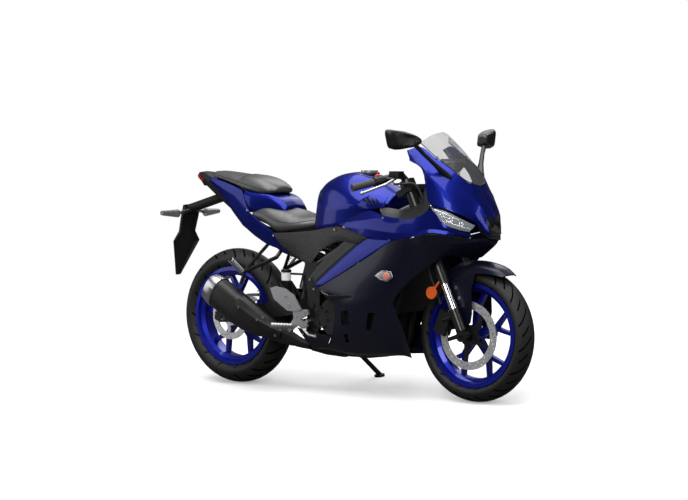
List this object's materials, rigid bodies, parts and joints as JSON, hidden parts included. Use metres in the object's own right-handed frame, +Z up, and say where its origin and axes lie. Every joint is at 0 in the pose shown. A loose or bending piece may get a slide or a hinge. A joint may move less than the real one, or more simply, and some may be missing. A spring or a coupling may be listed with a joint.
{
  "type": "sport motorcycle",
  "caption": "Fully faired sport motorcycle parked on its side stand, with turning wheels, steering, stand and filler cap.",
  "frame": {"origin": "middle of the floor under the parked machine's bounding box", "axes": "+X to the front of the machine, +Y to its left, +Z up; it leans 10.5 degrees to +Y on its side stand"},
  "size_m": [2.073, 0.7838, 1.2354],
  "materials": {
    "black_frame": "satin",
    "engine_black": "satin",
    "exhaust_black": "satin",
    "brushed_cap": "brushed",
    "spring_steel": "satin",
    "body_blue": "metallic gloss",
    "body_navy": "satin metallic",
    "black_plastic": "matte",
    "seat_vinyl": "satin",
    "lamp_lens": "clear",
    "screen": "clear grey",
    "bare_alloy": "satin",
    "brake_metal": "satin",
    "stanchion_chrome": "polished",
    "black_rubber": "matte",
    "reflector_amber": "gloss",
    "wheel_blue": "gloss",
    "tyre": "matte",
    "disc_steel": "brushed",
    "carrier_black": "satin",
    "stand_black": "satin",
    "cap_alloy": "satin"
  },
  "bodies": {
    "chassis": {"chin_fairings": "body_navy", "cockpit_panels": "black_plastic", "drive_chain": "spring_steel", "engine": "engine_black", "exhaust": "exhaust_black", "fairing_blades": "body_blue", "footrests": "bare_alloy", "front_lamps": "lamp_lens", "fuel_tank": "body_blue", "inner_fairings": "black_plastic", "instrument_panel": "black_plastic", "lower_fairings": "body_navy", "main_frame": "black_frame", "mirrors": "black_plastic", "nose_cowl": "body_blue", "nose_intake": "black_plastic", "pillion_hangers": "black_frame", "pillion_seat": "seat_vinyl", "plate_hanger": "black_plastic", "radiator": "engine_black", "rear_brake": "brake_metal", "rear_hugger": "black_plastic", "rear_lamps": "lamp_lens", "rider_seat": "seat_vinyl", "seat_subframe": "black_frame", "shock_absorber": "spring_steel", "side_covers": "black_plastic", "silencer_covers": "brushed_cap", "silencer_shield": "exhaust_black", "swingarm": "black_frame", "tail_centre": "black_plastic", "tail_cowls": "body_blue", "tail_hump": "body_blue", "tank_side_panels": "body_blue", "upper_fairings": "body_blue", "windscreen": "screen"},
    "steering": {"fork_legs": "black_frame", "fork_reflectors": "reflector_amber", "fork_stanchions": "stanchion_chrome", "front_brake": "brake_metal", "front_hose": "black_rubber", "front_mudguard": "body_navy", "grips": "black_rubber", "hand_controls": "black_plastic", "hand_levers": "bare_alloy", "handlebars": "black_frame", "triple_clamps": "black_frame"},
    "front_wheel": {"front_disc": "disc_steel", "front_disc_carrier": "carrier_black", "front_rim": "wheel_blue", "front_tyre": "tyre"},
    "rear_wheel": {"rear_disc": "disc_steel", "rear_rim": "wheel_blue", "rear_sprocket": "spring_steel", "rear_tyre": "tyre"},
    "side_stand": {"side_stand": "stand_black"},
    "fuel_lid": {"fuel_cap": "cap_alloy"}
  },
  "joints": [
    {"name": "steering", "type": "hinge", "parent": "chassis", "child": "steering", "pos_m": [0.45576, -0.05557, 0.80834], "axis": [-0.4226, 0.1652, 0.8911], "range_deg": [-34, 34]},
    {"name": "front_wheel_spin", "type": "hinge", "parent": "steering", "child": "front_wheel", "pos_m": [0.7435, -0.15177, 0.28933], "axis": [0, 0.9833, -0.1822], "continuous": true},
    {"name": "rear_wheel_spin", "type": "hinge", "parent": "chassis", "child": "rear_wheel", "pos_m": [-0.6365, -0.14794, 0.30998], "axis": [0, 0.9833, -0.1822], "continuous": true},
    {"name": "side_stand_fold", "type": "hinge", "parent": "chassis", "child": "side_stand", "pos_m": [-0.0615, -0.05786, 0.18141], "axis": [-0.3608, 0.9324, -0.0203], "range_deg": [0, 98]},
    {"name": "fuel_cap_lift", "type": "hinge", "parent": "chassis", "child": "fuel_lid", "pos_m": [0.1845, -0.02347, 0.98154], "axis": [0, 0.9833, -0.1822], "range_deg": [0, 95]}
  ]
}
